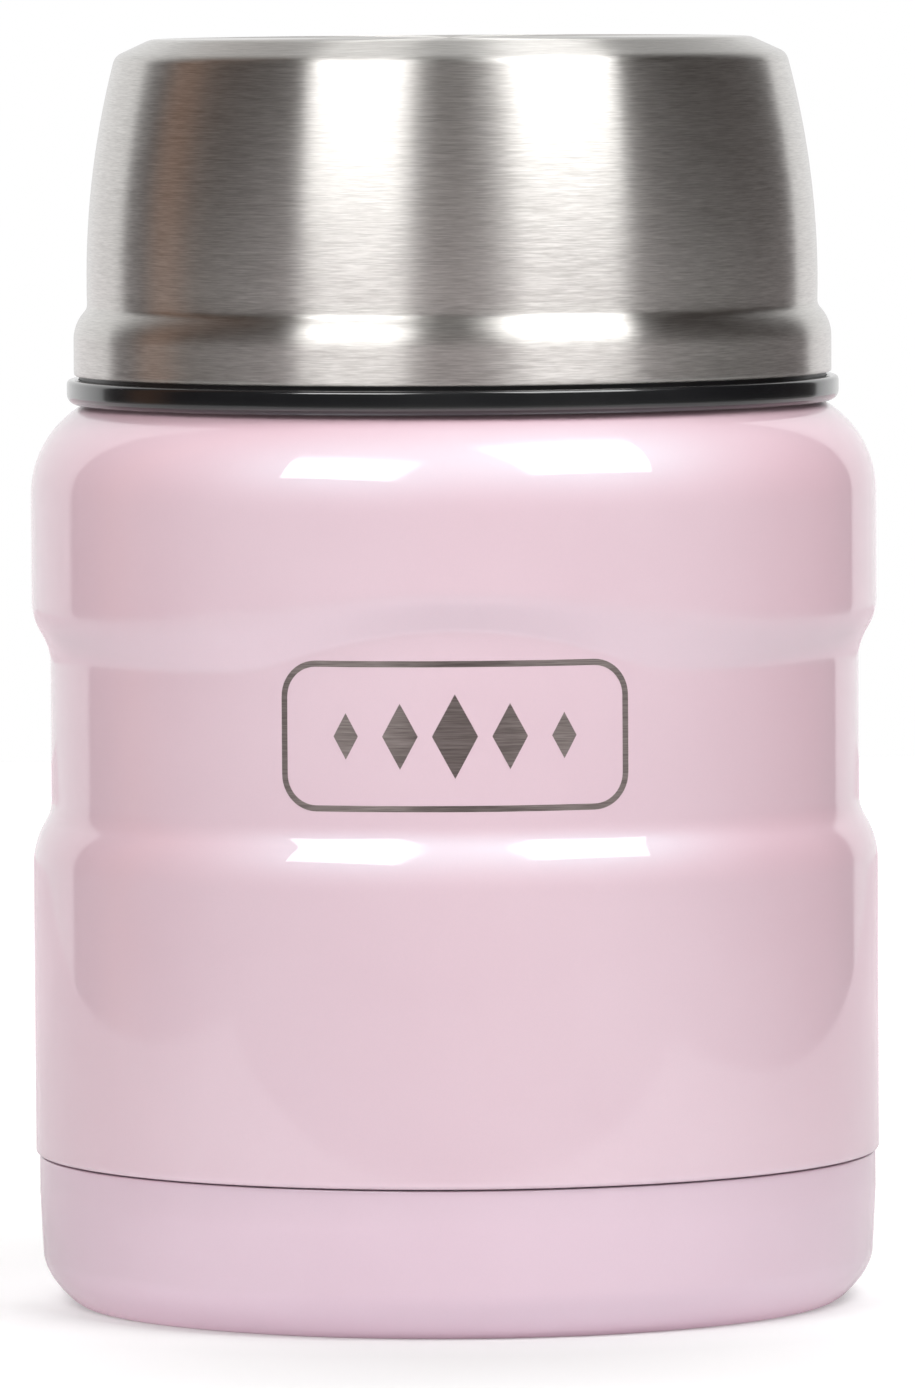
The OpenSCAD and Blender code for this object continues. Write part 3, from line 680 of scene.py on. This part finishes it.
def make_stopper():
    """Stopper cap, with a rest and two cheeks for the spoon's neck, and the gasket with its two lips."""
    pivot = spoon_pivot()
    bm = bmesh.new()
    turn(bm, cap_outline, 480)
    ridge(bm, SKIRT_R, LINER_Z + 2.7, LID_PITCH, 1)
    ridge(bm, SKIRT_R - SKIRT_T, MOUTH_Z - 7.1, NECK_PITCH, -1)
    side, cheek, end = NECK_W / 2 + SPOON_GAP, 1.4, pivot.x + 4
    root_z, rest_z = DECK_Z - 0.3, pivot.z - KNUCKLE_R - SPOON_DROP - SPOON_T - SPOON_GAP
    plate(bm, box_outline(pivot.x, -side, end, side), root_z, rest_z, 0.2)
    for y in (-side - cheek, side):
        plate(bm, box_outline(pivot.x, y, end, y + cheek), root_z, rest_z + SPOON_T, 0.3)
    piece("stopper_top", bm, SATIN, "stopper", ["stopper_cap"])

    in_r, end_r = GASKET_R - 1.9, GASKET_R - 0.6
    lip = (GASKET_TOP - GASKET_Z) / 4
    bm = bmesh.new()
    turn(bm, rounded([
        (in_r, GASKET_Z, 0.2), (end_r, GASKET_Z, 0.3), (GASKET_R, GASKET_Z + lip, 0.4),
        (GASKET_R - 0.5, GASKET_Z + 2 * lip, 0.4), (GASKET_R, GASKET_Z + 3 * lip, 0.4),
        (end_r, GASKET_TOP, 0.3), (in_r, GASKET_TOP, 0.2),
    ]))
    piece("gasket_ring", bm, RUBBER, "gasket", ["stopper_gasket"])


# ---------------------------------------------------------------- spoon

NECK_W = 11.4
KNUCKLE_R = 2.4
KNUCKLE_W = 6.2
EAR_Y = 3.3
EAR_T = 1.2
SPOON_T = 1.2
SPOON_DROP = 0.5
SPOON_GAP = 0.3


def box_outline(x0, y0, x1, y1):
    """Outline of a rectangle from two of its corners."""
    return [(x0, y0), (x1, y0), (x1, y1), (x0, y1)]


def spoon_pivot():
    """Middle of the hinge pin."""
    low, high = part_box("spoon_pin")
    return (Vector(low) + Vector(high)) / (2 * MM)


def make_spoon():
    """Egg-shaped bowl with its neck and two hinge ears, and the pin through them."""
    pivot = spoon_pivot()
    low, high = (Vector(v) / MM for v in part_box("spoon_bowl"))
    rim_z = pivot.z - KNUCKLE_R - SPOON_DROP
    start = pivot.x + 5
    length, half_w = high.x - start, (high.y - low.y) / 2
    middle = start + length / 2
    depth = rim_z - low.z - SPOON_T
    rings, around, egg = 22, 96, 0.16
    widest = max(math.sqrt(1 - (u / 100) ** 2) * (1 + egg * u / 100) for u in range(-100, 101))

    def ring(bm, f, down, out=0.0):
        """Ring of the hollow at that fraction of its half size, moved down and outwards."""
        points = []
        for k in range(around):
            a = 2 * math.pi * k / around
            u = math.cos(a)
            half = half_w / widest * math.sin(a) * (1 + egg * u)
            x, y = middle + (f * length / 2 + out) * u, f * half + out * math.sin(a)
            points.append(bm.verts.new((x * MM, y * MM, (rim_z - depth * (1 - f * f) - down) * MM)))
        return points

    bm = bmesh.new()
    inside = [ring(bm, j / rings, 0.0, -0.35 * (j == rings)) for j in range(1, rings + 1)]
    rim = [ring(bm, 1.0, 0.15, -0.1), ring(bm, 1.0, 0.6), ring(bm, 1.0, 1.05, -0.1)]
    outside = [ring(bm, j / rings, SPOON_T, -0.35 * (j == rings)) for j in range(rings, 0, -1)]
    centre = [[bm.verts.new((middle * MM, 0, (rim_z - depth - down) * MM))] for down in (0.0, SPOON_T)]
    layers = [centre[0]] + inside + rim + outside + [centre[1]]
    for a, b in zip(layers, layers[1:]):
        bridge(bm, a, b)
    plate(bm, box_outline(pivot.x - 1, -NECK_W / 2, start + 1.6, NECK_W / 2), rim_z - SPOON_T, rim_z, 0.3)
    for side in (-1, 1):
        tab = arc(0, 0, KNUCKLE_R, 0, 180, 16) + [(-KNUCKLE_R, -3.4), (KNUCKLE_R, -3.4)]
        place = Matrix.Translation(Vector((pivot.x, side * (EAR_Y + EAR_T / 2), pivot.z)) * MM)
        plate(bm, tab, -EAR_T / 2, EAR_T / 2, 0.2, place @ Matrix.Rotation(math.pi / 2, 4, "X"))
    piece("spoon_dish", bm, SPOON_STEEL, "spoon", ["spoon_bowl"])

    place = Matrix.Translation(pivot * MM) @ Matrix.Rotation(math.pi / 2, 4, "X")
    half, pin_r, head_r, head_h = EAR_Y + EAR_T + 0.05, 1.2, 1.9, 0.7
    head = rounded([(0, -half - head_h), (head_r, -half - head_h, 0.6), (head_r, -half, 0.1), (pin_r, -half)])
    bm = bmesh.new()
    turn(bm, head + [(r, -z) for r, z in head[::-1]], 64, place)
    piece("hinge_pin", bm, SPOON_STEEL, "spoon", ["spoon_pin"])


def make_handle():
    """Flat handle with a round end, a raised rib on both faces and the knuckle between the ears."""
    pivot = spoon_pivot()
    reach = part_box("spoon_handle")[1][0] / MM - pivot.x
    half, root, half_t, rib_h = 6.0, KNUCKLE_W / 2, 0.75, 0.2
    tip = reach - half
    outline = [(0, -root), (6, -root)] + arc(tip, 0, half, -90, 90, 24) + [(6, root), (0, root)]
    rib = arc(tip, 0, half - 3, -90, 90, 16) + arc(14, 0, 1.2, 90, 270, 10)
    place = Matrix.Translation(pivot * MM)
    bm = bmesh.new()
    plate(bm, outline, -half_t, half_t, 0.35, place)
    plate(bm, rib, -half_t - rib_h, half_t + rib_h, 0.18, place)
    knuckle = rounded([(1.25, -root), (KNUCKLE_R, -root, 0.3), (KNUCKLE_R, root, 0.3), (1.25, root)])
    turn(bm, knuckle, 64, place @ Matrix.Rotation(math.pi / 2, 4, "X"))
    piece("spoon_grip", bm, SPOON_STEEL, "handle", ["spoon_handle"])


# ---------------------------------------------------------------- etched ornament on the band

def on_band(points, lift):
    """Points of a flat drawing, in mm from the front of the band, laid on its round face."""
    r = BAND_R + lift
    return [Vector((r * math.sin(x / r), -r * math.cos(x / r), z)) * MM for x, z in points]


def inlay(bm, loops):
    """A thin closed strip on the band, through loops from its inner edge to its outer one."""
    low, high = -0.03, 0.012
    faces = [(loop, high) for loop in loops] + [(loop, low) for loop in loops[::-1]]
    rings = [[bm.verts.new(v) for v in on_band(loop, lift)] for loop, lift in faces]
    for a, b in zip(rings, rings[1:] + rings[:1]):
        bridge(bm, a, b)


def frame_loop(half_w, half_h, corner, middle_z, n=12, parts=24):
    """Loop of a rounded rectangle, as (x, z) points. Its long sides have points to follow the band."""
    loop = []
    for cx, cz, start in ((1, 1, 0), (-1, 1, 90), (-1, -1, 180), (1, -1, 270)):
        for x, z in arc(cx * (half_w - corner), cz * (half_h - corner), corner, start, start + 90, n):
            loop.append((x, middle_z + z))
        if cx == cz:
            edge = loop[-1]
            loop += [(edge[0] * (1 - 2 * i / parts), edge[1]) for i in range(1, parts)]
    return loop


def lozenge(cx, half_w, half_h, middle_z, n=4):
    """Loops of an upright lozenge from its middle outwards, close enough to follow the band."""
    loops = [[(cx, middle_z)]]
    for k in range(1, n + 1):
        corners = [(half_w * k / n, 0), (0, half_h * k / n), (-half_w * k / n, 0), (0, -half_h * k / n)]
        loop = []
        for a, b in zip(corners, corners[1:] + corners[:1]):
            for i in range(n):
                loop.append((cx + a[0] + (b[0] - a[0]) * i / n, middle_z + a[1] + (b[1] - a[1]) * i / n))
        loops.append(loop)
    return loops


def make_ornament():
    """A rounded frame round five lozenges, the middle one the largest."""
    middle_z = (STEP_1[1] + STEP_2[0]) / 2 + 1.9
    half_w, half_h, corner, stroke = 19.4, 8.2, 4.0, 0.67
    bm = bmesh.new()
    inner = frame_loop(half_w - stroke, half_h - stroke, corner - stroke, middle_z)
    inlay(bm, [inner, frame_loop(half_w, half_h, corner, middle_z)])
    for place, size in enumerate((0.55, 0.78, 1.0, 0.78, 0.55), -2):
        inlay(bm, lozenge(place * 6.0, 2.5 * size, 4.6 * size, middle_z))
    piece("band_ornament", bm, ETCHED, "jar")


# ---------------------------------------------------------------- hidden CAD nodes keep their shape

def dress(node, material):
    """Gives a CAD node its material."""
    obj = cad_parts[node]
    for slot in obj.material_slots:
        slot.material = material


# ---------------------------------------------------------------- studio

WHITE = (1, 1, 1, 1)

# Room that reflections see. A way runs from -1, straight in front of the jar, to 1, straight behind it.
# Heights are those of a direction of length 1.
ROOM = (0.03, 0.022, 0.02, 1)
ROOM_WARM = (0.27, 0.13, 0.065, 1)
WARM_WAYS = (0.1, 0.3, 0.38, 0.52)
ROOM_FRONT = (0.13, 0.124, 0.12, 1)
FRONT_WAYS = (-1.0, -0.1)
ROOM_FLOOR = (0.75, 0.725, 0.70, 1)
FLOOR_HEIGHTS = (-0.45, -0.05)
CEILING = (0.2, 0.195, 0.19, 1)
CEILING_HEIGHTS = (0.8, 0.97)
BACKDROP_SKEW = 0.096
BACKDROP_WAYS = (0.675, 0.71)

# Table top, from its front left corner to its back right one
TABLE = ((-0.39, -0.215), (0.34, 0.9))
# Its glow for the camera, and the distances from the jar's axis over which it comes in. The glow fades out
# towards the jar's foot and its front: a painted shadow that adds to the real one.
GLOW = 0.4
GLOW_REACH = (0.06, 0.2)
# Its glow in reflections, a painted reflection tinted pink as painted bounce light from the jar: at the jar's
# foot, round it, the share left beside it, and behind it
PINK_BOUNCE_PAINT = (1.0, 0.68, 0.79, 1)
FOOT_SHINE, FOOT_REACH = 0.8, (0.053, 0.075)
NEAR_SHINE, NEAR_REACH = (0.45, 1), (0.07, 0.12)
FADE_REACH = (0.13, 0.2)
SIDE_SHINE, SIDE_WAYS = 0.2, (-0.65, 0)
BACK_SHINE, BACK_REACH = 0.4, (0, 0.35)

# Softboxes: azimuth, height and roll in degrees, width, length, radiance and share of the side fade
SOFTBOXES = (
    ("softbox_left", -32.0, 42, -2, 0.367, 0.29, 9.0, 0.12),
    ("softbox_right", 43.2, 52.5, -7, 0.395, 0.46, 8.0, -0.1),
)
LAMP_AIM = 0.09
LAMP_REACH = 0.65
# Fill lights: azimuth in degrees and radiance
FILLS = ((-65, 1.25), (0, 0.3), (65, 0.95), (180, 1.6))
FILL_SIZE = 1.4
FILL_AIM = 0.1
FILL_REACH = 1.5

# Camera: place, focal length in mm, and pitch, yaw and roll in radians
CAMERA_PLACE = (0, -1.39815, 0.15371)
CAMERA_LENS = 324.75
CAMERA_TURN = (0.06148, 0.00022, -0.00649)


def softbox(name, azimuth, height, roll, width, length, radiance, fade_side, fade_top=0.35):
    """A rectangular lamp that faces the jar. Its azimuth is counted from the front, to the right. It dims
    towards its top and towards one side, over that share of its size. A negative share is the other side."""
    lamp = bpy.data.lights.new(name, "AREA")
    lamp.shape = "RECTANGLE"
    lamp.size, lamp.size_y = width, length
    lamp.energy = radiance * math.pi * width * length
    lamp.use_nodes = True
    n = Nodes(lamp.node_tree)
    across = n.add("ShaderNodeNewGeometry").outputs["Parametric"]
    u, v, _ = n.add("ShaderNodeSeparateXYZ", {0: across}).outputs
    side = n.spread(u, 0, 1, 0, -fade_side) if fade_side < 0 else n.spread(u, 1, 0, 1 - fade_side, 1)
    top = n.spread(v, 1, 0, 1 - fade_top, 1)
    n.tree.links.new(n.math("MULTIPLY", side, top), n.tree.nodes["Emission"].inputs["Strength"])
    obj = bpy.data.objects.new(name, lamp)
    azimuth, tilt, roll = math.radians(azimuth), math.radians(90 - height), math.radians(roll)
    turned = Matrix.Rotation(azimuth, 4, "Z") @ Matrix.Rotation(tilt, 4, "X")
    place = Matrix.Translation((0, 0, LAMP_REACH)) @ Matrix.Rotation(roll, 4, "Z")
    obj.matrix_world = Matrix.Translation((0, 0, LAMP_AIM)) @ turned @ place
    bpy.context.scene.collection.objects.link(obj)


def fill_light(azimuth, radiance):
    """Weak even light, as from a pale wall. It has no reflection of its own."""
    lamp = bpy.data.lights.new("fill", "AREA")
    lamp.size = FILL_SIZE
    lamp.energy = radiance * math.pi * FILL_SIZE ** 2
    obj = bpy.data.objects.new("fill", lamp)
    turned = Matrix.Rotation(math.radians(azimuth), 4, "Z") @ Matrix.Rotation(math.pi / 2, 4, "X")
    obj.matrix_world = Matrix.Translation((0, 0, FILL_AIM)) @ turned @ Matrix.Translation((0, 0, FILL_REACH))
    obj.visible_glossy = False
    bpy.context.scene.collection.objects.link(obj)


def make_world():
    """White all round for the camera. Reflections see a white backdrop behind and a dim room in front."""
    world = bpy.data.worlds.new("studio")
    bpy.context.scene.world = world
    world.use_nodes = True
    world.node_tree.nodes.clear()
    n = Nodes(world.node_tree)
    x, y, z = n.add("ShaderNodeSeparateXYZ", {0: n.add("ShaderNodeTexCoord").outputs["Generated"]}).outputs
    level = n.math("MAXIMUM", n.length(x, y), 0.001)
    way = n.math("DIVIDE", n.math("SUBTRACT", y, n.math("MULTIPLY", x, BACKDROP_SKEW)), level)
    warm = n.math("MULTIPLY", n.spread(way, 0, 1, *WARM_WAYS[:2]), n.spread(way, 1, 0, *WARM_WAYS[2:]))
    warm = n.math("MULTIPLY", warm, n.spread(x, 1, 0, -0.4, 0))
    room = n.blend(warm, ROOM, ROOM_WARM)
    room = n.blend(n.spread(way, 1, 0, *FRONT_WAYS), room, ROOM_FRONT)
    room = n.blend(n.spread(z, 1, 0, *FLOOR_HEIGHTS), room, ROOM_FLOOR)
    room = n.blend(n.spread(z, 0, 1, *CEILING_HEIGHTS), room, CEILING)
    around = n.blend(n.spread(way, 0, 1, *BACKDROP_WAYS), room, WHITE)
    lit = n.add("ShaderNodeBackground", {"Color": around}).outputs[0]
    white = n.add("ShaderNodeBackground", {"Color": WHITE}).outputs[0]
    seen = n.add("ShaderNodeLightPath").outputs["Is Camera Ray"]
    mix = n.add("ShaderNodeMixShader", {0: seen, 1: lit, 2: white}).outputs[0]
    n.add("ShaderNodeOutputWorld", {"Surface": mix})


def make_floor():
    """A pale table top that shows as the white backdrop does, and keeps the jar's shadow, with a painted
    shadow added round its foot and in front. Reflections see a painted glow on it, tinted pink as bounce
    light from the jar, round the jar and behind it, and dim further out in front."""
    bm = bmesh.new()
    (left, front), (right, back) = TABLE
    bm.faces.new([bm.verts.new((x, y, 0)) for x, y in box_outline(left, front, right, back)])
    f = Finish("pale_floor", Roughness=0.9, Specular_IOR_Level=0.1)
    soft = f.noise(f.stretched(6, 6, 6), 2.0)
    f.drive("Base Color", f.tint(soft, (0.66, 0.66, 0.66), (0.69, 0.69, 0.69)))
    path = f.add("ShaderNodeLightPath").outputs
    x, y, _ = f.add("ShaderNodeSeparateXYZ", {0: f.place}).outputs
    reach = f.length(x, y)
    way = f.math("DIVIDE", y, f.math("MAXIMUM", reach, 0.001))
    shown = f.math("MAXIMUM", path["Is Camera Ray"], path["Is Transmission Ray"])
    # Camera glow: low near the jar's foot and in front of it, a painted shadow that adds to the real one.
    glow = f.math("ADD", f.spread(reach, 0, GLOW, *GLOW_REACH), f.spread(way, 0, GLOW, -1, 0))
    glow = f.math("MULTIPLY", shown, glow)
    # Painted reflection: for glossy rays the floor glows strongest at the jar's foot and in a ring round it
    # in front, weaker beside it, and rising to a pale level behind it.
    near = f.spread(reach, *NEAR_SHINE, *NEAR_REACH)
    near = f.math("MINIMUM", near, f.spread(reach, NEAR_SHINE[1], 0, *FADE_REACH))
    near = f.math("MAXIMUM", near, f.spread(reach, FOOT_SHINE, 0, *FOOT_REACH))
    near = f.math("MULTIPLY", near, f.spread(way, 1, SIDE_SHINE, *SIDE_WAYS))
    shine = f.math("MAXIMUM", near, f.spread(y, 0, BACK_SHINE, *BACK_REACH))
    shine = f.math("MULTIPLY", path["Is Glossy Ray"], shine)
    # Reflections see this glow pink: painted bounce light from the jar.
    f.drive("Emission Color", f.blend(path["Is Glossy Ray"], WHITE, PINK_BOUNCE_PAINT))
    f.drive("Emission Strength", f.math("ADD", glow, shine))
    floor = piece("floor", bm, f.material)


def make_camera():
    """The photograph's viewpoint: a long lens, a little above the jar's middle."""
    camera = bpy.data.cameras.new("camera")
    camera.sensor_fit = "VERTICAL"
    camera.sensor_height = 36.0
    camera.lens = CAMERA_LENS
    camera.clip_end = 50
    obj = bpy.data.objects.new("camera", camera)
    pitch, yaw, roll = CAMERA_TURN
    turned = Matrix.Rotation(-yaw, 4, "Z") @ Matrix.Rotation(math.pi / 2 - pitch, 4, "X")
    turned = turned @ Matrix.Rotation(roll, 4, "Z")
    obj.matrix_world = Matrix.Translation(CAMERA_PLACE) @ turned
    bpy.context.scene.collection.objects.link(obj)
    bpy.context.scene.camera = obj


make_camera()
make_world()
make_floor()
for values in SOFTBOXES:
    softbox(*values)
for azimuth, radiance in FILLS:
    fill_light(azimuth, radiance)
bpy.context.scene.view_settings.view_transform = "Standard"

make_shell()
make_base()
make_rim()
make_lid()
make_liner()
make_neck()
make_vessel()
make_stopper()
make_spoon()
make_handle()
make_ornament()
for node, material in (
    ("end_plate", VESSEL_STEEL), ("radiation_foil", FOIL), ("getter", GETTER), ("evacuation_seal", SEAL),
    ("stopper_plug", SATIN), ("stopper_foam", FOAM),
):
    dress(node, material)
